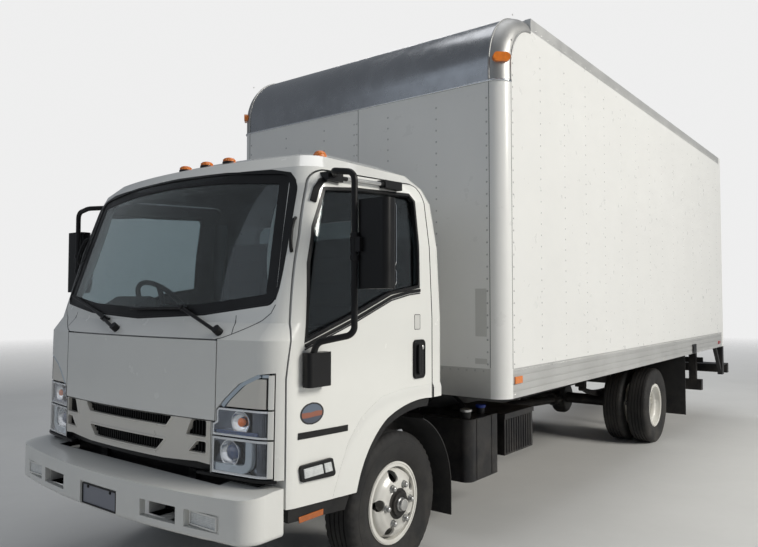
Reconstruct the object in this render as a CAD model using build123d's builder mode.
from build123d import *
from math import cos, pi, sin, sqrt
import os

# A cab-over box truck with a twenty-foot dry freight body. Millimetres, +X forward, +Y to the
# left, +Z up. The origin is on the ground, under the middle of the whole truck.
os.makedirs("parts", exist_ok=True)

# Driving dimensions
FRONT_X = 4215
WHEELBASE = 4470
FRONT_AXLE_X = FRONT_X - 1220
REAR_AXLE_X = FRONT_AXLE_X - WHEELBASE

TYRE_R = 386
TYRE_W = 215
RIM_R = 222
BEAD_R = 203
RIM_W = 152
FRONT_WHEEL_Y = 832
REAR_WHEEL_Y = 825
TWIN_SPACING = 250
KINGPIN_Y = 712

RAIL_OUT = 425
RAIL_TOP = 800
RAIL_H = 180
RAIL_FLANGE = 60
RAIL_T = 8

BODY_FRONT = FRONT_AXLE_X - 730
BODY_L = 6180
BODY_REAR = BODY_FRONT - BODY_L
BODY_HALF = 1219
BODY_BOTTOM = 885
BODY_TOP = 3382
LOW_RAIL_TOP = 1071
FLOOR_BOTTOM = 985
FLOOR_TOP = 1020
WALL_T = 38
CORNER_R = 102
NOSE_SEAM_Z = 2881
NOSE_R = 395
TOP_RAIL_H = 85

CAB_WALL = 45
CAB_FLOOR = 945
DOOR_GAP = 8
HINGE_X = FRONT_AXLE_X + 992
HINGE_Z = 745
HINGE_EYE_R = 18


def ahead(x):
    """Distance x ahead of the front axle, as a place in the truck's frame."""
    return FRONT_AXLE_X + x


def prism(plane, points, depth, corner_r=0):
    """A polygon, with its corners rounded, extruded both ways from a plane."""
    with BuildPart() as form:
        with BuildSketch(plane) as outline:
            with BuildLine():
                Polyline(*points, close=True)
            make_face()
            if corner_r:
                fillet(outline.vertices(), corner_r)
        extrude(amount=depth, both=True)
    return form.part


def rod(start, end, radius):
    """A round bar between two points."""
    run = Vector(end) - Vector(start)
    with BuildPart() as bar:
        with Locations(Plane(origin=start, z_dir=run)):
            Cylinder(radius, run.length, align=(Align.CENTER, Align.CENTER, Align.MIN))
    return bar.part


def save(builder, name):
    """Label a finished piece and write its file."""
    builder.part.label = name
    export_step(builder.part, f"parts/{name}.step")


def side_view(y, x=0):
    """A side view's plane at y: first value along X from x, second along Z."""
    return Plane(origin=(x, y, 0), x_dir=(1, 0, 0), z_dir=(0, -1, 0))


SIDE = side_view(0)
# Front views are drawn on this plane: first value along Y, second along Z
FRONT = Plane.YZ
# The cab's side views measure X from the front axle
CAB_SIDE = side_view(0, FRONT_AXLE_X)

# The cab's plan sections: height, front x, bow of the front, corner y, half width,
# corner's start x, rear x, rear corner radius. Every x is ahead of the front axle.
CAB_SECTIONS = [
    (560, 1084, 78, 900, 1015, 866, -345, 45),
    (1318, 1070, 78, 900, 1015, 852, -345, 45),
    (1395, 1008, 80, 913, 1015, 800, -345, 45),
    (1800, 893, 82, 876, 998, 690, -350, 60),
    (2060, 819, 86, 838, 962, 600, -345, 80),
]
ROOF_SECTIONS = [
    (2060, 819, 86, 838, 962, 600, -345, 80),
    (2150, 786, 88, 812, 925, 570, -325, 100),
    (2222, 716, 88, 752, 862, 500, -275, 120),
    (2270, 570, 88, 640, 748, 360, -160, 120),
]
ROOF_T = 40


def cab_section(row, inset, drop):
    """One plan section of the cab, moved in by the wall's thickness."""
    height, front, bow, corner_y, half, corner_x, rear, rear_r = row
    front_x = ahead(front - inset)
    end_x = front_x - bow
    end_y = corner_y - inset
    side_y = half - inset
    corner = ahead(corner_x - inset)
    rear_x = ahead(rear + inset)
    mid = rear_r * (1 - sqrt(0.5))
    with BuildSketch(Plane.XY.offset(height - drop)) as section:
        with BuildLine():
            ThreePointArc((end_x, -end_y), (front_x, 0), (end_x, end_y))
            TangentArc((corner, side_y), (end_x, end_y), tangent=(1, 0))
            Line((corner, side_y), (rear_x + rear_r, side_y))
            ThreePointArc((rear_x + rear_r, side_y), (rear_x + mid, side_y - mid), (rear_x, side_y - rear_r))
            Line((rear_x, side_y - rear_r), (rear_x, rear_r - side_y))
            ThreePointArc((rear_x, rear_r - side_y), (rear_x + mid, mid - side_y), (rear_x + rear_r, -side_y))
            Line((rear_x + rear_r, -side_y), (corner, -side_y))
            TangentArc((corner, -side_y), (end_x, -end_y), tangent=(1, 0))
        make_face()
    return section.sketch


def cab_form(inset):
    """The cab's closed outer form, or the same form moved in by the wall's thickness."""
    drop = inset * ROOF_T / CAB_WALL
    with BuildPart() as form:
        for lower, upper in zip(CAB_SECTIONS, CAB_SECTIONS[1:]):
            loft(sections=[cab_section(lower, inset, 0), cab_section(upper, inset, 0)], ruled=True)
        for lower, upper in zip(ROOF_SECTIONS, ROOF_SECTIONS[1:]):
            lower_drop = 0 if lower is ROOF_SECTIONS[0] else drop
            ends = [cab_section(lower, inset, lower_drop), cab_section(upper, inset, drop)]
            loft(sections=ends, ruled=True)
    return form.part


CAB_FORMS = {inset: cab_form(inset) for inset in (0, 6, 12, 22, 30, CAB_WALL, 52, 60)}


def skin(outer_inset, inner_inset, cutter):
    """A layer of the cab's wall between two depths, kept only inside the cutter."""
    with BuildPart() as layer:
        add(CAB_FORMS[outer_inset])
        add(cutter, mode=Mode.INTERSECT)
        add(CAB_FORMS[inner_inset], mode=Mode.SUBTRACT)
    return layer.part


# Chassis frame: two channel rails, cross members and the cab's hinge brackets
RAIL_FRONT = ahead(940)
RAIL_REAR = BODY_REAR + 40
CROSS_MEMBERS = [ahead(x) for x in (900, -1000, -1900, -2800, -3700, -5200, -6600)]
TOWER_Y = 389
TOWER_T = 28
PIN_R = 12
PIN_L = 84

with BuildPart() as chassis_frame:
    for side in (1, -1):
        with BuildSketch(Plane.YZ.offset(RAIL_REAR)) as rail:
            with Locations((side * (RAIL_OUT - RAIL_T / 2), RAIL_TOP - RAIL_H / 2)):
                Rectangle(RAIL_T, RAIL_H)
            for z in (RAIL_TOP - RAIL_T / 2, RAIL_TOP - RAIL_H + RAIL_T / 2):
                with Locations((side * (RAIL_OUT - RAIL_FLANGE / 2), z)):
                    Rectangle(RAIL_FLANGE, RAIL_T)
        extrude(amount=RAIL_FRONT - RAIL_REAR)
    for x in CROSS_MEMBERS:
        with Locations((x, 0, RAIL_TOP - RAIL_H / 2)):
            Box(70, 2 * (RAIL_OUT - RAIL_T), 110)
    for side in (1, -1):
        with BuildSketch(side_view(side * TOWER_Y)) as tower:
            with BuildLine():
                Polyline(
                    (HINGE_X - 97, HINGE_Z - 55), (HINGE_X - 47, HINGE_Z - 55), (HINGE_X + 8, HINGE_Z - 16),
                    (HINGE_X - 4, HINGE_Z + 17), (HINGE_X - 57, RAIL_TOP - 4), (HINGE_X - 97, RAIL_TOP - 4),
                    close=True,
                )
            make_face()
            with Locations((HINGE_X, HINGE_Z)):
                Circle(HINGE_EYE_R)
        extrude(amount=TOWER_T / 2, both=True)
        with Locations((HINGE_X, side * TOWER_Y, HINGE_Z)):
            Cylinder(PIN_R, PIN_L, rotation=(90, 0, 0))
save(chassis_frame, "chassis_frame")

# Front bumper: a deep bowed shell with a flat ledge, lamp, tow and plate openings
BUMPER_BOW = 96
BUMPER_HALF = 1000
BUMPER_LOW = 465
BUMPER_LIP = 652
BUMPER_BACK = 676
BUMPER_REAR = ahead(925)
BUMPER_T = 28
# Openings in the bumper's face: centre y, centre z, width, height
TOW_OPENING = (467, 546, 240, 76)
FOG_RECESS = (742, 546, 205, 76)
PLATE_RECESS = (0, 528, 330, 122)
FOG_DEPTH = 71
PLATE_DEPTH = 14


def bumper_plan(inset):
    front_x = FRONT_X - inset
    half = BUMPER_HALF - inset
    with BuildSketch(Plane.XY.offset(BUMPER_LOW - inset)) as plan:
        with BuildLine():
            arc = ThreePointArc((front_x - BUMPER_BOW, -half), (front_x, 0), (front_x - BUMPER_BOW, half))
            Polyline(arc @ 1, (BUMPER_REAR - 2 * inset, half), (BUMPER_REAR - 2 * inset, -half), arc @ 0)
        make_face()
        fillet(plan.vertices().group_by(Axis.X)[-1], 105 - inset)
    return plan.sketch


with BuildPart() as front_bumper:
    add(bumper_plan(0))
    extrude(amount=BUMPER_BACK - BUMPER_LOW)
    ledge = prism(SIDE, [
        (ahead(980), BUMPER_BACK), (FRONT_X + 50, BUMPER_LIP - 6), (FRONT_X + 50, BUMPER_BACK + 60),
        (ahead(980), BUMPER_BACK + 60),
    ], 1200)
    add(ledge, mode=Mode.SUBTRACT)
    fillet(front_bumper.edges().filter_by(lambda e: e.center().X > ahead(1000)).group_by(Axis.Z)[0], 22)
    with BuildPart(mode=Mode.PRIVATE) as inner:
        add(bumper_plan(BUMPER_T))
        extrude(amount=BUMPER_BACK - BUMPER_LOW)
        add(Pos(0, 0, -BUMPER_T) * ledge, mode=Mode.SUBTRACT)
    add(inner.part, mode=Mode.SUBTRACT)
    with Locations((ahead(970), 0, 660)):
        Box(140, 1400, 80, mode=Mode.SUBTRACT)
    for side in (1, -1):
        y, z, width, height = TOW_OPENING
        with Locations((FRONT_X - 60, side * y, z)):
            Box(160, width, height, mode=Mode.SUBTRACT)
        y, z, width, height = FOG_RECESS
        with Locations((FRONT_X, side * y, z)):
            Box(2 * FOG_DEPTH, width, height, mode=Mode.SUBTRACT)
    y, z, width, height = PLATE_RECESS
    with Locations((FRONT_X, y, z)):
        Box(2 * PLATE_DEPTH, width, height, mode=Mode.SUBTRACT)
    for side in (1, -1):
        with Locations(((RAIL_FRONT + FRONT_X - 45) / 2, side * (RAIL_OUT - RAIL_FLANGE / 2), 614)):
            Box(FRONT_X - 45 - RAIL_FRONT, RAIL_FLANGE, 48)
        with Locations((RAIL_FRONT + 6, side * (RAIL_OUT - RAIL_FLANGE / 2), 635)):
            Box(12, RAIL_FLANGE, 90)
save(front_bumper, "front_bumper")

# Front axle: a forged beam with an eye at each kingpin
BEAM_LOW = 305
BEAM_H = 70
EYE_HALF_H = 36

with BuildPart() as front_axle_beam:
    with BuildSketch(Plane.YZ.offset(FRONT_AXLE_X - 35)):
        with BuildLine():
            Polyline(
                (-520, TYRE_R - 30), (-470, BEAM_LOW), (470, BEAM_LOW), (520, TYRE_R - 30),
                (690, TYRE_R - 30), (690, TYRE_R + 30), (500, TYRE_R + 30),
                (440, BEAM_LOW + BEAM_H), (-440, BEAM_LOW + BEAM_H), (-500, TYRE_R + 30), (-690, TYRE_R + 30),
                (-690, TYRE_R - 30), close=True,
            )
        make_face()
    extrude(amount=70)
    for side in (1, -1):
        with Locations((FRONT_AXLE_X, side * KINGPIN_Y, TYRE_R)):
            Cylinder(38, 2 * EYE_HALF_H)
            Cylinder(20, 3 * EYE_HALF_H, mode=Mode.SUBTRACT)
save(front_axle_beam, "front_axle_beam")

# Steering knuckles: kingpin, yoke, brake plate, spindle and steering arm
ARM_REACH = 160
ARM_LOW = 318
ARM_H = 18
LUG_H = 40
PLATE_R = 162

with BuildPart() as knuckle_left:
    with Locations((FRONT_AXLE_X, KINGPIN_Y, TYRE_R)):
        Cylinder(19.5, 2 * (EYE_HALF_H + LUG_H + 2))
    for lift in (1, -1):
        with Locations((FRONT_AXLE_X, KINGPIN_Y + 15, TYRE_R + lift * (EYE_HALF_H + 4 + LUG_H / 2))):
            Box(70, 90, LUG_H)
    with Locations((FRONT_AXLE_X, KINGPIN_Y + 55, TYRE_R)):
        Cylinder(PLATE_R, 12, rotation=(90, 0, 0))
    with Locations((FRONT_AXLE_X, KINGPIN_Y + 70, TYRE_R)):
        Cylinder(30, 30, rotation=(90, 0, 0))
    with BuildSketch(Plane.XY.offset(ARM_LOW)):
        with BuildLine():
            Polyline(
                (FRONT_AXLE_X + 20, KINGPIN_Y - 25), (FRONT_AXLE_X + 20, KINGPIN_Y + 15),
                (FRONT_AXLE_X - ARM_REACH, KINGPIN_Y + 2), (FRONT_AXLE_X - ARM_REACH, KINGPIN_Y - 32),
                close=True,
            )
        make_face()
        with Locations((FRONT_AXLE_X - ARM_REACH, KINGPIN_Y - 15)):
            Circle(24)
    extrude(amount=ARM_H)
save(knuckle_left, "knuckle_left")
with BuildPart() as knuckle_right:
    mirror(knuckle_left.part, about=Plane.XZ)
save(knuckle_right, "knuckle_right")

# Tie rod: hangs under the two steering arms
with BuildPart() as tie_rod:
    with Locations((FRONT_AXLE_X - ARM_REACH, 0, ARM_LOW - 26)):
        Cylinder(14, 2 * (KINGPIN_Y - 15), rotation=(90, 0, 0))
    for side in (1, -1):
        with Locations((FRONT_AXLE_X - ARM_REACH, side * (KINGPIN_Y - 15), ARM_LOW - 26)):
            Cylinder(22, 42)
save(tie_rod, "tie_rod")


def turned(axle_x, points):
    """A closed outline turned round a wheel's axis: first value along Y, second the radius."""
    with BuildPart() as form:
        with BuildSketch(Plane(origin=(axle_x, 0, TYRE_R), x_dir=(0, 1, 0), z_dir=(1, 0, 0))):
            with BuildLine():
                Polyline(*points, close=True)
            make_face()
        revolve(axis=Axis((axle_x, 0, TYRE_R), (0, 1, 0)))
    return form.part


def tyre_form(axle_x, y):
    """One tyre with a rounded sidewall."""
    half = TYRE_W / 2
    with BuildPart() as form:
        with BuildSketch(Plane(origin=(axle_x, y, TYRE_R), x_dir=(0, 1, 0), z_dir=(1, 0, 0))):
            with BuildLine():
                Line((-RIM_W / 2, BEAD_R), (RIM_W / 2, BEAD_R))
                Line((RIM_W / 2, BEAD_R), (RIM_W / 2, RIM_R))
                ThreePointArc((RIM_W / 2, RIM_R), (half, 298), (half - 14, TYRE_R - 14))
                ThreePointArc((half - 14, TYRE_R - 14), (half - 22, TYRE_R - 5), (half - 36, TYRE_R))
                Line((half - 36, TYRE_R), (36 - half, TYRE_R))
                ThreePointArc((36 - half, TYRE_R), (22 - half, TYRE_R - 5), (14 - half, TYRE_R - 14))
                ThreePointArc((14 - half, TYRE_R - 14), (-half, 298), (-RIM_W / 2, RIM_R))
                Line((-RIM_W / 2, RIM_R), (-RIM_W / 2, BEAD_R))
            make_face()
        revolve(axis=Axis((axle_x, 0, TYRE_R), (0, 1, 0)))
    return form.part


def rim_points(y):
    """The rim's section: flanges, bead seats and drop centre."""
    half = RIM_W / 2
    return [
        (y - half - 5, RIM_R), (y - half, RIM_R), (y - half, BEAD_R), (y - 30, BEAD_R), (y - 18, 186),
        (y + 18, 186), (y + 30, BEAD_R), (y + half, BEAD_R), (y + half, RIM_R), (y + half + 5, RIM_R),
        (y + half + 5, BEAD_R - 8), (y + 34, BEAD_R - 8), (y + 22, 178), (y - 22, 178), (y - 34, BEAD_R - 8),
        (y - half - 5, BEAD_R - 8),
    ]


# A wheel disc's section, from the rim to the hub, measured outward from the rim's middle
DISC_OFFSET = 110
DISC_T = 9
HAND_HOLES = 5
HAND_HOLE_R = 21
HAND_HOLE_RING = 150
HUB_R = 62


def disc_points(y, out):
    """The wheel disc, dished outward when out is 1 and inward when it is -1."""
    near = y + out * 30
    shoulder = y + out * (DISC_OFFSET - 35)
    face = y + out * DISC_OFFSET
    t = out * DISC_T
    return [
        (near, 190), (near, 180), (near + t, 180), (shoulder, 168), (face - t, 128), (face - t, 40),
        (face, 40), (face, 134), (shoulder + t, 176), (near + t, 190),
    ]


def hand_hole_cutters(axle_x, y):
    with BuildPart() as cutters:
        for index in range(HAND_HOLES):
            angle = 2 * pi * index / HAND_HOLES + 0.2
            place = (axle_x + HAND_HOLE_RING * sin(angle), y, TYRE_R + HAND_HOLE_RING * cos(angle))
            with Locations(place):
                Cylinder(HAND_HOLE_R, 130, rotation=(90, 0, 0))
    return cutters.part


with BuildPart() as wheel_front_left:
    add(turned(FRONT_AXLE_X, disc_points(FRONT_WHEEL_Y, 1)))
    add(hand_hole_cutters(FRONT_AXLE_X, FRONT_WHEEL_Y + 70), mode=Mode.SUBTRACT)
    add(turned(FRONT_AXLE_X, rim_points(FRONT_WHEEL_Y)))
    with Locations((FRONT_AXLE_X, 890, TYRE_R)):
        Cylinder(HUB_R, 136, rotation=(90, 0, 0))
    with Locations((FRONT_AXLE_X, 972, TYRE_R)):
        Cylinder(30, 30, rotation=(90, 0, 0))
    with Locations((FRONT_AXLE_X, 815, TYRE_R)):
        Cylinder(150, 26, rotation=(90, 0, 0))
save(wheel_front_left, "wheel_front_left")
with BuildPart() as wheel_front_right:
    mirror(wheel_front_left.part, about=Plane.XZ)
save(wheel_front_right, "wheel_front_right")

with BuildPart() as tyre_front_left:
    add(tyre_form(FRONT_AXLE_X, FRONT_WHEEL_Y))
save(tyre_front_left, "tyre_front_left")
with BuildPart() as tyre_front_right:
    mirror(tyre_front_left.part, about=Plane.XZ)
save(tyre_front_right, "tyre_front_right")

# Rear axle and its twin wheels
HOUSING_END = 636
REAR_HUB_R = 84

with BuildPart() as rear_axle:
    with Locations((REAR_AXLE_X, 0, TYRE_R)):
        Cylinder(58, 2 * HOUSING_END, rotation=(90, 0, 0))
        Cylinder(175, 150, rotation=(90, 0, 0))
    fillet(rear_axle.edges().filter_by(GeomType.CIRCLE).filter_by(lambda e: abs(e.radius - 175) < 1), 50)
    with Locations((REAR_AXLE_X + 190, 0, TYRE_R)):
        Cylinder(70, 150, rotation=(0, 90, 0))
    for side in (1, -1):
        with Locations((REAR_AXLE_X, side * (HOUSING_END - 6), TYRE_R)):
            Cylinder(165, 12, rotation=(90, 0, 0))
save(rear_axle, "rear_axle")

with BuildPart() as wheels_rear_left:
    for out in (1, -1):
        middle = REAR_WHEEL_Y + out * TWIN_SPACING / 2
        add(turned(REAR_AXLE_X, disc_points(middle, -out)))
    add(hand_hole_cutters(REAR_AXLE_X, REAR_WHEEL_Y), mode=Mode.SUBTRACT)
    for out in (1, -1):
        add(turned(REAR_AXLE_X, rim_points(REAR_WHEEL_Y + out * TWIN_SPACING / 2)))
    with Locations((REAR_AXLE_X, 808, TYRE_R)):
        Cylinder(REAR_HUB_R, 304, rotation=(90, 0, 0))
    with Locations((REAR_AXLE_X, 722, TYRE_R)):
        Cylinder(168, 140, rotation=(90, 0, 0))
save(wheels_rear_left, "wheels_rear_left")
with BuildPart() as wheels_rear_right:
    mirror(wheels_rear_left.part, about=Plane.XZ)
save(wheels_rear_right, "wheels_rear_right")

with BuildPart() as tyres_rear_left:
    for out in (1, -1):
        add(tyre_form(REAR_AXLE_X, REAR_WHEEL_Y + out * TWIN_SPACING / 2))
save(tyres_rear_left, "tyres_rear_left")
with BuildPart() as tyres_rear_right:
    mirror(tyres_rear_left.part, about=Plane.XZ)
save(tyres_rear_right, "tyres_rear_right")

# Leaf springs: axle x, y, half length, height over the axle, sag, thickness
SPRINGS = [
    (FRONT_AXLE_X, 400, 600, 377, 150, 40),
    (REAR_AXLE_X, 492, 640, 446, 130, 70),
]
SPRING_W = 66

with BuildPart() as leaf_springs:
    for axle_x, y, half, seat, rise, thick in SPRINGS:
        for side in (1, -1):
            with BuildSketch(side_view(side * y, axle_x)) as leaf:
                with BuildLine():
                    ThreePointArc((-half, seat + rise), (0, seat), (half, seat + rise))
                    Line((half, seat + rise), (half, seat + rise + 14))
                    ThreePointArc((half, seat + rise + 14), (0, seat + thick), (-half, seat + rise + 14))
                    Line((-half, seat + rise + 14), (-half, seat + rise))
                make_face()
                with Locations((half, seat + rise + 7), (-half, seat + rise + 7)):
                    Circle(26)
            extrude(amount=SPRING_W / 2, both=True)
            under_rail = y < RAIL_OUT
            top = RAIL_TOP - RAIL_H if under_rail else RAIL_TOP - 40
            near = y - SPRING_W / 2 if under_rail else RAIL_OUT
            far = y + SPRING_W / 2
            for end in (1, -1):
                with Locations((axle_x + end * half, side * (near + far) / 2, (seat + rise + top) / 2 + 12)):
                    Box(60, far - near, top - seat - rise - 24)
save(leaf_springs, "leaf_springs")

# Engine and gearbox as one plain block, and the propeller shaft
with BuildPart() as engine_block:
    with Locations((ahead(120), 0, 660)):
        Box(900, 560, 440)
    with Locations((ahead(-620), 0, 600)):
        Box(580, 360, 330)
save(engine_block, "engine_block")

# The shaft runs from the gearbox down to the axle's pinion, with a flange at each end
SHAFT_FRONT = (ahead(-925), 0, 560)
SHAFT_REAR = (REAR_AXLE_X + 280, 0, TYRE_R)
FLANGE_T = 15
with BuildPart() as drive_shaft:
    add(rod(SHAFT_FRONT, SHAFT_REAR, 45))
    for end, shift in ((SHAFT_FRONT, FLANGE_T / 2), (SHAFT_REAR, -FLANGE_T / 2)):
        with Locations((end[0] + shift, 0, end[2])):
            Cylinder(64, FLANGE_T, rotation=(0, 90, 0))
save(drive_shaft, "drive_shaft")

# The cab's underside follows the wheel arch, then drops to the door sills and the front
ARCH = [(452, 556), (345, 765), (207, 883), (60, 930), (-208, CAB_FLOOR)]
SILL_FRONT = (917, 583)
FRONT_LOW = 712
TUNNEL_HALF = 435


def arch_line(points):
    """The wheel arch as two arcs, in the cab's side view."""
    ThreePointArc(points[0], points[1], points[2])
    ThreePointArc(points[2], points[3], points[4])


with BuildPart() as underside:
    with BuildSketch(CAB_SIDE):
        with BuildLine():
            arch_line(ARCH)
            Polyline(
                ARCH[-1], (-500, CAB_FLOOR), (-500, 400), (1300, 400), (1300, FRONT_LOW),
                (SILL_FRONT[0], FRONT_LOW), SILL_FRONT, ARCH[0],
            )
        make_face()
    extrude(amount=1200, both=True)
    with Locations((ahead(0), 0, CAB_FLOOR - 200)):
        Box(3000, 2 * TUNNEL_HALF, 400)

# The cabin's floor line, one wall's thickness above the underside
FLOOR_ARCH = [(500, 640), (382, 796), (234, 923), (70, 974), (-208, CAB_FLOOR + CAB_WALL)]
FOOT_INNER = TUNNEL_HALF + CAB_WALL

with BuildPart() as cabin_space:
    with BuildSketch(CAB_SIDE):
        with BuildLine():
            arch_line(FLOOR_ARCH)
            Polyline(
                FLOOR_ARCH[-1], (-500, CAB_FLOOR + CAB_WALL), (-500, 2400), (1300, 2400), (1300, 965),
                (955, 965), (945, 800), (900, 640), FLOOR_ARCH[0],
            )
        make_face()
    extrude(amount=1200, both=True)
    with Locations((ahead(400), 0, CAB_FLOOR + CAB_WALL - 400)):
        Box(3000, 2 * FOOT_INNER, 800, mode=Mode.SUBTRACT)
    for side in (1, -1):
        with Locations((ahead(905 + 300), side * (640 + 300), 890)):
            Box(600, 600, 600, mode=Mode.SUBTRACT)
    add(CAB_FORMS[CAB_WALL], mode=Mode.INTERSECT)

# Door: outline in the side view, measured from the front axle
DOOR_REAR = -225


def door_prism(side, grow):
    """The door's outline swept through one side of the cab."""
    with BuildPart() as form:
        with BuildSketch(CAB_SIDE):
            with BuildLine():
                Line((SILL_FRONT[0], 500), (911, 1150))
                ThreePointArc((911, 1150), (834, 1600), (703, 2040))
                ThreePointArc((703, 2040), (662, 2104), (600, 2130))
                Polyline((600, 2130), (-140, 2162))
                ThreePointArc((-140, 2162), (-200, 2142), (DOOR_REAR, 2080))
                Polyline((DOOR_REAR, 2080), (DOOR_REAR, 500), (SILL_FRONT[0], 500))
            make_face()
            if grow:
                offset(amount=grow)
        extrude(amount=1200, both=True)
        with Locations((FRONT_AXLE_X, -side * 1000, 1400)):
            Box(4000, 3000, 3000, mode=Mode.SUBTRACT)
    return form.part


# Door window: belt line high at the rear and sloping down to the front
WINDOW = [
    (815, 1303), (428, 1428), (152, 1526), (-116, 1566), (-137, 2062), (-100, 2103), (375, 2074), (634, 2044),
    (733, 1842), (778, 1669),
]
window_prism = prism(CAB_SIDE, WINDOW, 1200)

# Windscreen, rear window, front lid, grille and headlamp outlines in the front view
SCREEN = [
    (-915, 1478), (-500, 1425), (0, 1402), (500, 1425), (915, 1478), (822, 2122), (400, 2158), (0, 2168),
    (-400, 2158), (-822, 2122),
]
LID_HALF = 662
LID_LOW = 950
LID_TOP = 1313
LAMP_OUTLINE = [
    (648, 716), (975, 716), (975, 1176), (905, 1168), (800, 1122), (712, 1046), (672, 1000), (672, 944),
    (648, 944),
]
LAMP_GAP = 2
LAMP_REAR = 930
GRILLE_HALF = 640


def front_prism(points, rear_x, corner_r=0, grow=0):
    """A front-view outline swept forward from a plane ahead of the axle."""
    with BuildPart() as form:
        with BuildSketch(Plane.YZ.offset(ahead(rear_x))) as outline:
            with BuildLine():
                Polyline(*points, close=True)
            make_face()
            if corner_r:
                fillet(outline.vertices(), corner_r)
            if grow:
                offset(amount=grow, kind=Kind.INTERSECTION)
        extrude(amount=1500 - rear_x)
    return form.part


def box_points(half, low, high):
    return [(-half, low), (half, low), (half, high), (-half, high)]


screen_prism = front_prism(SCREEN, 450, 40)
rear_window_prism = Pos(ahead(-345), 0, 0) * prism(FRONT, box_points(560, 1560, 2010), 400, 60)
rear_pane = Pos(ahead(-325), 0, 0) * prism(FRONT, box_points(558, 1562, 2008), 3, 58)
lid_prism = front_prism(box_points(LID_HALF, LID_LOW, LID_TOP), 900)
lid_recess = front_prism(box_points(LID_HALF + 6, LID_LOW - 6, LID_TOP + 7), 900)
grille_opening = front_prism(box_points(GRILLE_HALF + 4, FRONT_LOW - 20, LID_LOW), 985)
lamp_prism = front_prism(LAMP_OUTLINE, LAMP_REAR)
lamp_pocket = front_prism(LAMP_OUTLINE, LAMP_REAR - LAMP_GAP, grow=LAMP_GAP)

ARM_Y = (355, 423)
PIN_HOLE_R = 12.6
# Room in the sill's corner for the door's front edge as it swings: middle, then size
DOOR_RELIEF_AT = (876, 970, 600)
DOOR_RELIEF = (72, 96, 130)

with BuildPart() as cab_shell:
    add(CAB_FORMS[0])
    add(underside.part, mode=Mode.SUBTRACT)
    add(cabin_space.part, mode=Mode.SUBTRACT)
    for side in (1, -1):
        add(skin(0, 52, door_prism(side, DOOR_GAP)), mode=Mode.SUBTRACT)
        with Locations((ahead(DOOR_RELIEF_AT[0]), side * DOOR_RELIEF_AT[1], DOOR_RELIEF_AT[2])):
            Box(*DOOR_RELIEF, mode=Mode.SUBTRACT)
    add(screen_prism, mode=Mode.SUBTRACT)
    add(rear_window_prism, mode=Mode.SUBTRACT)
    add(skin(0, 30, lid_recess), mode=Mode.SUBTRACT)
    add(grille_opening, mode=Mode.SUBTRACT)
    pocket = skin(0, 60, lamp_pocket)
    add(pocket, mode=Mode.SUBTRACT)
    add(pocket.mirror(Plane.XZ), mode=Mode.SUBTRACT)
    for side in (1, -1):
        for y in ARM_Y:
            with BuildSketch(side_view(side * y)):
                with BuildLine():
                    Polyline(
                        (HINGE_X - 42, CAB_FLOOR + 8), (HINGE_X + 14, CAB_FLOOR + 8),
                        (HINGE_X + HINGE_EYE_R, HINGE_Z), (HINGE_X - HINGE_EYE_R, HINGE_Z), close=True,
                    )
                make_face()
                with Locations((HINGE_X, HINGE_Z)):
                    Circle(HINGE_EYE_R)
                with Locations((HINGE_X, HINGE_Z)):
                    Circle(PIN_HOLE_R, mode=Mode.SUBTRACT)
            extrude(amount=6, both=True)
save(cab_shell, "cab_shell")

with BuildPart() as cab_glass:
    add(skin(6, 12, screen_prism))
    add(rear_pane)
save(cab_glass, "cab_glass")

with BuildPart() as front_panel:
    add(skin(0, 22, lid_prism))
save(front_panel, "front_panel")

with BuildPart() as headlamps:
    add(skin(0, CAB_WALL, lamp_prism))
    for z in (885, 1015):
        with Locations((ahead(1000), 830, z)):
            Box(300, 400, 5, mode=Mode.SUBTRACT)
    mirror(about=Plane.XZ)
save(headlamps, "headlamps")

# Grille: two stepped bars with slots between, on a ribbed black mesh
SLOTS = [
    [(-385, 946), (385, 946), (345, 900), (-345, 900)],
    [(-335, 833), (335, 833), (275, 777), (-275, 777)],
]
SIDE_SLOTS = [
    [(520, 946), (618, 946), (618, 870), (486, 872)],
    [(560, 850), (618, 850), (618, 796), (506, 797)],
]
GRILLE_OUTLINE = [(-GRILLE_HALF, 750), (-560, 756), (-330, 744), (330, 744), (560, 756), (GRILLE_HALF, 750),
                  (GRILLE_HALF, 946), (-GRILLE_HALF, 946)]

with BuildPart() as grille:
    add(skin(0, 22, front_prism(GRILLE_OUTLINE, 900)))
    for slot in SLOTS:
        add(front_prism(slot, 900), mode=Mode.SUBTRACT)
    for slot in SIDE_SLOTS:
        cutter = front_prism(slot, 900)
        add(cutter, mode=Mode.SUBTRACT)
        add(cutter.mirror(Plane.XZ), mode=Mode.SUBTRACT)
save(grille, "grille")

with BuildPart() as grille_mesh:
    add(skin(30, CAB_WALL, front_prism(box_points(GRILLE_HALF + 4, FRONT_LOW + 2, LID_LOW), 985)))
save(grille_mesh, "grille_mesh")

# Doors with their glass, handle and side lamp
HANDLE_PLACE = (-93, 1172)
HANDLE_SIZE = (112, 214)
SIDE_LAMP = [(851, 762), (635, 762), (610, 676), (838, 688)]

door_slab = skin(0, CAB_WALL, door_prism(1, 0))
with BuildPart() as door_left:
    add(door_slab)
    add(underside.part, mode=Mode.SUBTRACT)
    add(window_prism, mode=Mode.SUBTRACT)
save(door_left, "door_left")
with BuildPart() as door_right:
    mirror(door_left.part, about=Plane.XZ)
save(door_right, "door_right")

with BuildPart() as door_glass_left:
    add(skin(22, 30, window_prism))
    with Locations((FRONT_AXLE_X, -1000, 1400)):
        Box(4000, 3000, 3000, mode=Mode.SUBTRACT)
save(door_glass_left, "door_glass_left")
with BuildPart() as door_glass_right:
    mirror(door_glass_left.part, about=Plane.XZ)
save(door_glass_right, "door_glass_right")

# Mirror: a tube from the door frame's top corner down to a foot on the door, and its head
MIRROR_TUBE_R = 15
MIRROR_ROD_R = 11
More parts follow.
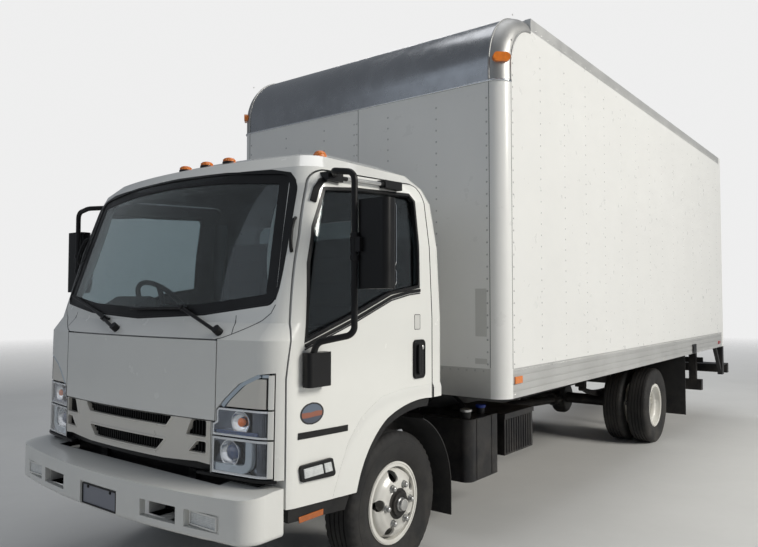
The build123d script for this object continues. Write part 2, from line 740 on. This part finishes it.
# Clamps on the door's top edge: x, z, length
MIRROR_CLAMPS = [(570, 2098, 110), (95, 2120, 150)]
MIRROR_X = ahead(690)
MIRROR_Y = 1205
HEAD_LOW = 1550
HEAD_HIGH = 1955
HEAD_INNER = 1198
HEAD_OUTER = 1378
FOOT_TOP = 1262

with BuildPart() as mirror_left:
    with BuildLine() as tube:
        FilletPolyline(
            (ahead(560), 972, 2112), (ahead(690), 1080, 2100), (MIRROR_X, MIRROR_Y, 2080),
            (MIRROR_X, MIRROR_Y, 1345), (ahead(800), 1080, 1310), (ahead(800), 1045, 1230), radius=45,
        )
    with BuildSketch(Plane(tube.line @ 0, z_dir=tube.line % 0)):
        Circle(MIRROR_TUBE_R)
    sweep()
    with BuildSketch(Plane.XY.offset(HEAD_LOW)) as head:
        with Locations((MIRROR_X - 55, (HEAD_INNER + HEAD_OUTER) / 2)):
            Rectangle(86, HEAD_OUTER - HEAD_INNER)
        fillet(head.vertices(), 34)
    extrude(amount=HEAD_HIGH - HEAD_LOW)
    with Locations((MIRROR_X - 20, MIRROR_Y + 10, 1750)):
        Box(60, 56, 66)
    with BuildSketch(Plane.XY.offset(1108)) as foot:
        with Locations((ahead(762), 1045)):
            Rectangle(150, 58)
        fillet(foot.vertices(), 20)
    extrude(amount=FOOT_TOP - 1108)
    for x, z, length in MIRROR_CLAMPS:
        with Locations((ahead(x), 955, z)):
            Box(length, 62, 42)
    add(rod(*[(ahead(x), 968, z) for x, z, length in MIRROR_CLAMPS], MIRROR_ROD_R))
    add(CAB_FORMS[0], mode=Mode.SUBTRACT)
save(mirror_left, "mirror_left")
with BuildPart() as mirror_right:
    mirror(mirror_left.part, about=Plane.XZ)
save(mirror_right, "mirror_right")

# Door hardware: pull handle and side marker lamp, standing a little off the skin
with BuildPart() as door_hardware_left:
    x, z = HANDLE_PLACE
    with Locations((ahead(x), 1019, z)):
        Box(HANDLE_SIZE[0], 8, HANDLE_SIZE[1])
    fillet(door_hardware_left.edges().filter_by(Axis.Y), 26)
    with BuildSketch(side_view(1015, FRONT_AXLE_X)) as lamp:
        with BuildLine():
            Polyline(*SIDE_LAMP, close=True)
        make_face()
        fillet(lamp.vertices(), 14)
    extrude(amount=-14)
save(door_hardware_left, "door_hardware_left")
with BuildPart() as door_hardware_right:
    mirror(door_hardware_left.part, about=Plane.XZ)
save(door_hardware_right, "door_hardware_right")

# Entry steps under the doors, and the black trim that follows each front wheel arch
STEP_FRONT = 905
STEP_REAR = 512
STEP_LOW = 492
STEP_TOP = 551
# Arch trim layers: nearest y, farthest y, then the distances inside the arch's edge
TRIM_LAYERS = [(945, 1008, 8, 48), (945, 960, 0, 12)]


def arch_inside(depth):
    """The arch's points moved toward the front wheel's centre."""
    points = []
    for x, z in ARCH:
        reach = sqrt(x * x + (z - TYRE_R) ** 2)
        points.append((x - depth * x / reach, z - depth * (z - TYRE_R) / reach))
    return points


with BuildPart() as cab_trims:
    with BuildSketch(CAB_SIDE):
        with BuildLine():
            Polyline(
                (STEP_FRONT, STEP_LOW + 30), (STEP_FRONT, STEP_TOP + 26), (STEP_REAR - 20, STEP_TOP),
                (STEP_REAR + 14, STEP_LOW), close=True,
            )
        make_face()
    extrude(amount=1008, both=True)
    with Locations((ahead(700), 0, 520)):
        Box(1000, 2 * 720, 300, mode=Mode.SUBTRACT)
    for near, far, shallow, deep in TRIM_LAYERS:
        outer = arch_inside(shallow)
        inner = arch_inside(deep)
        for side in (1, -1):
            middle = side * (near + far) / 2
            with BuildSketch(side_view(middle, FRONT_AXLE_X)):
                with BuildLine():
                    arch_line(outer)
                    Line(outer[-1], inner[-1])
                    arch_line(inner)
                    Line(outer[0], inner[0])
                make_face()
            extrude(amount=(far - near) / 2, both=True)
save(cab_trims, "cab_trims")

# Roof marker lamps: three at the middle and one over each door
ROOF_LAMPS = [(575, 0, 2266), (575, 197, 2264), (575, -197, 2264), (500, 815, 2212), (500, -815, 2212)]
with BuildPart() as roof_lamps:
    for x, y, z in ROOF_LAMPS:
        with Locations((ahead(x), y, z + 14)):
            Cylinder(32, 22)
        with Locations((ahead(x), y, z + 31)):
            Cone(32, 20, 12)
    add(CAB_FORMS[0], mode=Mode.SUBTRACT)
save(roof_lamps, "roof_lamps")

# Wipers, each row as y and z of its pivot, its elbow and the blade's two ends, and how far along
# the blade the arm holds it
WIPERS = [
    ((-132, 1353), (-300, 1399), (-250, 1396), (-822, 1523), 0.44),
    ((655, 1356), (366, 1461), (400, 1463), (-64, 1453), 0.5),
]
WIPER_AXIS = (0.78, 0, 0.63)
BLADE_OUT = 20
KNEE_OUT = 27


def on_front(place, out):
    """A point on the cab's bowed front, moved out from it."""
    y, z = place
    low, high = CAB_SECTIONS[1:3] if z < CAB_SECTIONS[2][0] else CAB_SECTIONS[2:4]
    share = (z - low[0]) / (high[0] - low[0])
    front, bow, corner_y = [a + share * (b - a) for a, b in zip(low[1:4], high[1:4])]
    return (ahead(front - bow * (y / corner_y) ** 2 + out), y, z)


with BuildPart() as wipers:
    for pivot, elbow, blade_start, blade_end, share in WIPERS:
        start = Vector(on_front(blade_start, BLADE_OUT))
        end = Vector(on_front(blade_end, BLADE_OUT))
        knee = on_front(elbow, KNEE_OUT)
        add(rod(start, end, 7))
        add(rod(knee, start + (end - start) * share, 7.5))
        add(rod(on_front(pivot, KNEE_OUT), knee, 9))
        with Locations(Plane(origin=knee, z_dir=WIPER_AXIS)):
            Cylinder(13, 24)
        with Locations(Plane(origin=on_front(pivot, 14), z_dir=WIPER_AXIS)):
            Cylinder(20, 44)
    add(CAB_FORMS[0], mode=Mode.SUBTRACT)
save(wipers, "wipers")

# Seats and dashboard
# Each row: middle y, width. The driver sits on the right.
SEAT_ROWS = [(-450, 500), (350, 880)]
BASE_GAP = 4
with BuildPart() as seat_bases:
    for y, width in SEAT_ROWS:
        with Locations((ahead(45), y, 1030)):
            Box(430, width - 60, 300)
    add(cabin_space.part, mode=Mode.INTERSECT)
    for side in (1, -1):
        with Locations((ahead(45), side * FOOT_INNER, 1030)):
            Box(500, BASE_GAP, 400, mode=Mode.SUBTRACT)
save(seat_bases, "seat_bases")
with BuildPart() as seat_cushions:
    for y, width in SEAT_ROWS:
        with Locations((ahead(65), y, 1240)):
            Box(500, width, 110)
    fillet(seat_cushions.edges().filter_by(Axis.Y), 35)
save(seat_cushions, "seat_cushions")
with BuildPart() as seat_backs:
    for y, width in SEAT_ROWS:
        with BuildSketch(side_view(y, FRONT_AXLE_X)) as back:
            with BuildLine():
                Polyline((-170, 1310), (-60, 1310), (-150, 1900), (-230, 1900), close=True)
            make_face()
            fillet(back.vertices(), 34)
        extrude(amount=width / 2, both=True)
save(seat_backs, "seat_backs")

# Dashboard with the instrument hood and the steering column
WHEEL_CENTRE = (ahead(545), -430, 1445)
WHEEL_TILT = 50 * pi / 180
COLUMN_DIR = (sin(WHEEL_TILT), 0, -cos(WHEEL_TILT))
with BuildPart() as dashboard:
    with BuildSketch(CAB_SIDE) as panel:
        with BuildLine():
            Polyline(
                (898, 1130), (690, 1130), (660, 1210), (680, 1350), (735, 1440), (925, 1450), (975, 1400),
                (975, 1200), (898, 1200), close=True,
            )
        make_face()
        fillet(panel.vertices(), 25)
    extrude(amount=850, both=True)
    add(CAB_FORMS[CAB_WALL], mode=Mode.INTERSECT)
    with BuildSketch(side_view(WHEEL_CENTRE[1], FRONT_AXLE_X)) as hood:
        with BuildLine():
            Polyline((735, 1400), (720, 1505), (760, 1520), (900, 1440), (900, 1400), close=True)
        make_face()
    extrude(amount=170, both=True)
    with BuildSketch(Plane(origin=WHEEL_CENTRE, z_dir=COLUMN_DIR)):
        Circle(32)
    extrude(amount=270)
    with Locations(Plane(origin=WHEEL_CENTRE, z_dir=COLUMN_DIR)):
        Cylinder(60, 44, mode=Mode.SUBTRACT)
save(dashboard, "dashboard")

with BuildPart() as steering_wheel:
    wheel_plane = Plane(origin=WHEEL_CENTRE, z_dir=(-sin(WHEEL_TILT), 0, cos(WHEEL_TILT)))
    with Locations(wheel_plane):
        Torus(205, 15)
        Cylinder(42, 30)
        for angle in (90, 210, 330):
            with Locations(Rot(0, 0, angle)):
                with Locations((110, 0, 0)):
                    Box(180, 34, 12)
save(steering_wheel, "steering_wheel")

# Body: sills, floor, rails, walls, posts, nose, roof, rear frame and roll-up door
SILL_H = BODY_BOTTOM - RAIL_TOP
CROSS_SILL_PITCH = 406
CROSS_SILLS = 15

with BuildPart() as body_sills:
    for side in (1, -1):
        with Locations(((BODY_FRONT + BODY_REAR) / 2, side * 395, BODY_BOTTOM - SILL_H / 2)):
            Box(BODY_L - 120, 60, SILL_H)
save(body_sills, "body_sills")

with BuildPart() as cross_sills:
    for index in range(CROSS_SILLS):
        x = BODY_FRONT - 150 - index * CROSS_SILL_PITCH
        with Locations((x, 0, BODY_BOTTOM + 4)):
            Box(58, 2 * 1180, 8)
        with Locations((x, 0, FLOOR_BOTTOM - 4)):
            Box(58, 2 * 1180, 8)
        with Locations((x, 0, (BODY_BOTTOM + FLOOR_BOTTOM) / 2)):
            Box(8, 2 * 1180, FLOOR_BOTTOM - BODY_BOTTOM)
save(cross_sills, "cross_sills")

REAR_FRAME_D = 90
REAR_POST_W = 95
SILL_BEAM_TOP = FLOOR_TOP
HEADER_LOW = 3110

with BuildPart() as body_floor:
    with Locations(((BODY_FRONT - 40 + BODY_REAR + REAR_FRAME_D) / 2, 0, (FLOOR_BOTTOM + FLOOR_TOP) / 2)):
        Box(BODY_L - 40 - REAR_FRAME_D, 2 * 1180, FLOOR_TOP - FLOOR_BOTTOM)
    fillet(body_floor.edges().filter_by(Axis.Z).group_by(Axis.X)[-1], 62)
save(body_floor, "body_floor")

# The bottom rails: a plate with grooves along it, and a flange under the floor's edge
GROOVES = (930, 975, 1026)
SIDE_FRONT = BODY_FRONT - CORNER_R
SIDE_REAR = BODY_REAR + REAR_FRAME_D
with BuildPart() as body_rails:
    for side in (1, -1):
        with BuildSketch(Plane.YZ.offset(SIDE_REAR)):
            with Locations((side * (BODY_HALF - 15), (BODY_BOTTOM + LOW_RAIL_TOP) / 2)):
                Rectangle(30, LOW_RAIL_TOP - BODY_BOTTOM)
            for z in GROOVES:
                with Locations((side * BODY_HALF, z)):
                    Rectangle(10, 10, mode=Mode.SUBTRACT)
        extrude(amount=SIDE_FRONT - SIDE_REAR)
        with BuildSketch(Plane.YZ.offset(SIDE_REAR)):
            with Locations((side * (BODY_HALF - 22), BODY_TOP - TOP_RAIL_H / 2)):
                Rectangle(44, TOP_RAIL_H)
        extrude(amount=BODY_FRONT - NOSE_R - SIDE_REAR)
    with Locations((BODY_FRONT - 15, 0, (BODY_BOTTOM + LOW_RAIL_TOP) / 2)):
        Box(30, 2 * (BODY_HALF - CORNER_R), LOW_RAIL_TOP - BODY_BOTTOM)
save(body_rails, "body_rails")

NOSE_START_Z = BODY_TOP - NOSE_R
with BuildPart() as side_walls:
    for side in (1, -1):
        with BuildSketch(side_view(side * (BODY_HALF - WALL_T / 2))):
            with BuildLine():
                Polyline(
                    (SIDE_REAR, LOW_RAIL_TOP), (SIDE_FRONT, LOW_RAIL_TOP), (SIDE_FRONT, NOSE_START_Z),
                )
                RadiusArc(
                    (SIDE_FRONT, NOSE_START_Z), (BODY_FRONT - NOSE_R, BODY_TOP - CORNER_R), CORNER_R - NOSE_R,
                )
                Polyline(
                    (BODY_FRONT - NOSE_R, BODY_TOP - CORNER_R), (BODY_FRONT - NOSE_R, BODY_TOP - TOP_RAIL_H),
                    (SIDE_REAR, BODY_TOP - TOP_RAIL_H), (SIDE_REAR, LOW_RAIL_TOP),
                )
            make_face()
        extrude(amount=WALL_T / 2, both=True)
save(side_walls, "side_walls")

with BuildPart() as front_wall:
    with Locations((BODY_FRONT - WALL_T / 2, 0, (LOW_RAIL_TOP + NOSE_SEAM_Z) / 2)):
        Box(WALL_T, 2 * (BODY_HALF - CORNER_R), NOSE_SEAM_Z - LOW_RAIL_TOP)
save(front_wall, "front_wall")


def corner_ring(side):
    """The rounded corner's plan: a quarter ring as thick as the wall."""
    with BuildSketch(Plane.XY.offset(BODY_BOTTOM)) as ring:
        with Locations((BODY_FRONT - CORNER_R, side * (BODY_HALF - CORNER_R))):
            Circle(CORNER_R)
            Circle(CORNER_R - WALL_T, mode=Mode.SUBTRACT)
        with Locations((BODY_FRONT - CORNER_R - 200, side * (BODY_HALF - CORNER_R))):
            Rectangle(400, 800, mode=Mode.SUBTRACT)
        with Locations((BODY_FRONT - CORNER_R, side * (BODY_HALF - CORNER_R - 200))):
            Rectangle(800, 400, mode=Mode.SUBTRACT)
    return ring.sketch


with BuildPart() as corner_posts:
    for side in (1, -1):
        add(corner_ring(side))
        extrude(amount=NOSE_SEAM_Z - BODY_BOTTOM)
save(corner_posts, "corner_posts")

# Nose corner caps: the corner's section carried up, then round onto the roof
with BuildPart() as nose_caps:
    for side in (1, -1):
        section = Pos(0, 0, NOSE_SEAM_Z - BODY_BOTTOM) * corner_ring(side)
        add(section)
        extrude(amount=NOSE_START_Z - NOSE_SEAM_Z)
        turned_section = Pos(0, 0, NOSE_START_Z - NOSE_SEAM_Z) * section
        add(revolve(turned_section, axis=Axis((BODY_FRONT - NOSE_R, 0, NOSE_START_Z), (0, -1, 0)),
                    revolution_arc=90, mode=Mode.PRIVATE))
save(nose_caps, "nose_caps")

with BuildPart() as nose_panel:
    with BuildSketch(SIDE):
        with BuildLine():
            Line((BODY_FRONT, NOSE_SEAM_Z), (BODY_FRONT, NOSE_START_Z))
            CenterArc((BODY_FRONT - NOSE_R, NOSE_START_Z), NOSE_R, 0, 90)
            Line((BODY_FRONT - NOSE_R, BODY_TOP), (BODY_FRONT - NOSE_R, BODY_TOP - WALL_T))
            CenterArc((BODY_FRONT - NOSE_R, NOSE_START_Z), NOSE_R - WALL_T, 0, 90)
            Line((BODY_FRONT - WALL_T, NOSE_START_Z), (BODY_FRONT - WALL_T, NOSE_SEAM_Z))
            Line((BODY_FRONT - WALL_T, NOSE_SEAM_Z), (BODY_FRONT, NOSE_SEAM_Z))
        make_face()
    extrude(amount=BODY_HALF - CORNER_R, both=True)
save(nose_panel, "nose_panel")

with BuildPart() as roof_panel:
    with Locations(((BODY_FRONT - NOSE_R + SIDE_REAR) / 2, 0, BODY_TOP - 14)):
        Box(BODY_FRONT - NOSE_R - SIDE_REAR, 2 * (BODY_HALF - 44), 20)
save(roof_panel, "roof_panel")

with BuildPart() as rear_frame:
    with Locations((BODY_REAR + REAR_FRAME_D / 2, 0, (BODY_BOTTOM + BODY_TOP) / 2)):
        Box(REAR_FRAME_D, 2 * BODY_HALF, BODY_TOP - BODY_BOTTOM)
    with Locations((BODY_REAR + REAR_FRAME_D / 2, 0, (SILL_BEAM_TOP + HEADER_LOW) / 2)):
        Box(2 * REAR_FRAME_D, 2 * (BODY_HALF - REAR_POST_W), HEADER_LOW - SILL_BEAM_TOP, mode=Mode.SUBTRACT)
save(rear_frame, "rear_frame")

DOOR_PANELS = 6
with BuildPart() as roll_up_door:
    height = (HEADER_LOW - SILL_BEAM_TOP) / DOOR_PANELS
    for index in range(DOOR_PANELS):
        with Locations((BODY_REAR + 45, 0, SILL_BEAM_TOP + height * (index + 0.5))):
            Box(28, 2 * (BODY_HALF - REAR_POST_W), height)
        with Locations((BODY_REAR + 31, 0, SILL_BEAM_TOP + height * index)):
            Box(12, 2 * (BODY_HALF - REAR_POST_W) + 10, 8, mode=Mode.SUBTRACT)
    with Locations((BODY_REAR + 26, 0, SILL_BEAM_TOP + 180)):
        Box(10, 150, 120)
save(roll_up_door, "roll_up_door")

# Rear step: posts and braces down from the body, a bar with a tread plate, and a low guard bar
STEP_BACK = -FRONT_X
REAR_STEP_LOW = 515
REAR_STEP_TOP = 640
POST_Y = (1187, 480)
GUARD_HALF = 962
GUARD_LOW = 290
GUARD_HIGH = 430
GUARD_POST_Y = 850

with BuildPart() as rear_bumper:
    with Locations((STEP_BACK + 45, 0, (REAR_STEP_LOW + REAR_STEP_TOP) / 2)):
        Box(90, 2 * BODY_HALF, REAR_STEP_TOP - REAR_STEP_LOW)
    with Locations((STEP_BACK + 145, 0, REAR_STEP_TOP - 5)):
        Box(290, 2 * BODY_HALF, 10)
    for side in (1, -1):
        for y in POST_Y:
            with Locations((BODY_REAR + 25, side * y, (REAR_STEP_LOW + BODY_BOTTOM) / 2)):
                Box(90, 60, BODY_BOTTOM - REAR_STEP_LOW)
            brace = prism(side_view(side * y, BODY_REAR), [
                (60, REAR_STEP_LOW), (60, REAR_STEP_LOW + 60), (330, BODY_BOTTOM), (390, BODY_BOTTOM),
            ], 20)
            add(brace)
        with Locations((BODY_REAR + 45, side * GUARD_POST_Y, (GUARD_LOW + BODY_BOTTOM) / 2)):
            Box(70, 90, BODY_BOTTOM - GUARD_LOW)
    with Locations((BODY_REAR + 45, 0, (GUARD_LOW + GUARD_HIGH) / 2)):
        Box(80, 2 * GUARD_HALF, GUARD_HIGH - GUARD_LOW)
save(rear_bumper, "rear_bumper")

# Lamps on the body
CAP_LAMP_Z = 3022
with BuildPart() as amber_lamps:
    for side in (1, -1):
        with Locations((BODY_FRONT - 171, side * (BODY_HALF + 4), 996)):
            Box(100, 8, 44)
        lamp_plane = Plane(
            origin=(BODY_FRONT - CORNER_R, side * (BODY_HALF - CORNER_R), CAP_LAMP_Z),
            x_dir=(-side, 1, 0), z_dir=(1, side, 0),
        )
        with BuildSketch(lamp_plane) as cap_lamp:
            Rectangle(110, 58)
            fillet(cap_lamp.vertices().group_by(Axis.Z)[-1], 27)
        extrude(amount=CORNER_R + 20)
        with Locations((BODY_FRONT - CORNER_R, side * (BODY_HALF - CORNER_R), CAP_LAMP_Z)):
            Cylinder(CORNER_R, 200, mode=Mode.SUBTRACT)
save(amber_lamps, "amber_lamps")
with BuildPart() as red_lamps:
    for y in (-200, 0, 200):
        with Locations((BODY_REAR - 6, y, 3300)):
            Box(12, 110, 36)
    for side in (1, -1):
        with Locations((BODY_REAR - 6, side * 1160, 950)):
            Box(12, 70, 100)
        with Locations((BODY_REAR + 250, side * (BODY_HALF + 4), BODY_BOTTOM + 62)):
            Box(100, 8, 36)
save(red_lamps, "red_lamps")

# Tanks, battery box, silencer and mudguards. The additive tank's necks: x, y, radius
TANK_NECKS = [(-830, 880, 34), (-1040, 870, 27)]
with BuildPart() as additive_tank:
    with BuildSketch(Plane.XY.offset(335)) as tank:
        with Locations((ahead(-960), 760)):
            Rectangle(420, 380)
        fillet(tank.vertices(), 60)
    extrude(amount=395)
    with Locations((ahead(-960), 500, 700)):
        Box(300, 150, 50)
    for x, y, radius in TANK_NECKS:
        with Locations((ahead(x), y, 750)):
            Cylinder(radius, 50)
save(additive_tank, "additive_tank")

with BuildPart() as battery_box:
    with Locations((ahead(-1450), 725, 560)):
        Box(440, 450, 270)
    with Locations((ahead(-1450), 725, 694)):
        Box(456, 466, 34)
    with Locations((ahead(-1450), 465, 680)):
        Box(300, 80, 30)
save(battery_box, "battery_box")

with BuildPart() as fuel_tank:
    with BuildSketch(Plane.YZ.offset(ahead(-2000))) as tank:
        with Locations((-690, 560)):
            Rectangle(440, 400)
        fillet(tank.vertices(), 70)
    extrude(amount=900)
    for x in (-1800, -1350):
        with Locations((ahead(x), -448, 700)):
            Box(60, 46, 60)
save(fuel_tank, "fuel_tank")

with BuildPart() as exhaust:
    with Locations((ahead(-2700), -640, 560)):
        Cylinder(115, 800, rotation=(0, 90, 0))
    with Locations((ahead(-3250), -640, 560)):
        Cylinder(34, 400, rotation=(0, 90, 0))
    for x in (-2450, -2950):
        with Locations((ahead(x), -535, 650)):
            Box(30, 220, 60)
save(exhaust, "exhaust")

# The front mudguard's arc starts at this angle and ends in a lip below the axle's height
GUARD_R = 474
GUARD_T = 6
GUARD_START = 112
GUARD_LIP = -170
with BuildPart() as mudguards:
    for side in (1, -1):
        with BuildSketch(Plane(origin=(FRONT_AXLE_X, side * 850, TYRE_R), x_dir=(1, 0, 0), z_dir=(0, -1, 0))):
            with BuildLine():
                inner_arc = CenterArc((0, 0), GUARD_R, GUARD_START, 180 - GUARD_START)
                outer_arc = CenterArc((0, 0), GUARD_R + GUARD_T, GUARD_START, 180 - GUARD_START)
                Line(inner_arc @ 0, outer_arc @ 0)
                Polyline(inner_arc @ 1, (-GUARD_R, GUARD_LIP), (-GUARD_R - GUARD_T, GUARD_LIP), outer_arc @ 1)
            make_face()
        extrude(amount=135, both=True)
        with Locations((ahead(-GUARD_R - 20), side * 570, 640)):
            Box(34, 290, 34)
        with Locations((REAR_AXLE_X - 640, side * 880, 550)):
            Box(10, 600, 670)
save(mudguards, "mudguards")
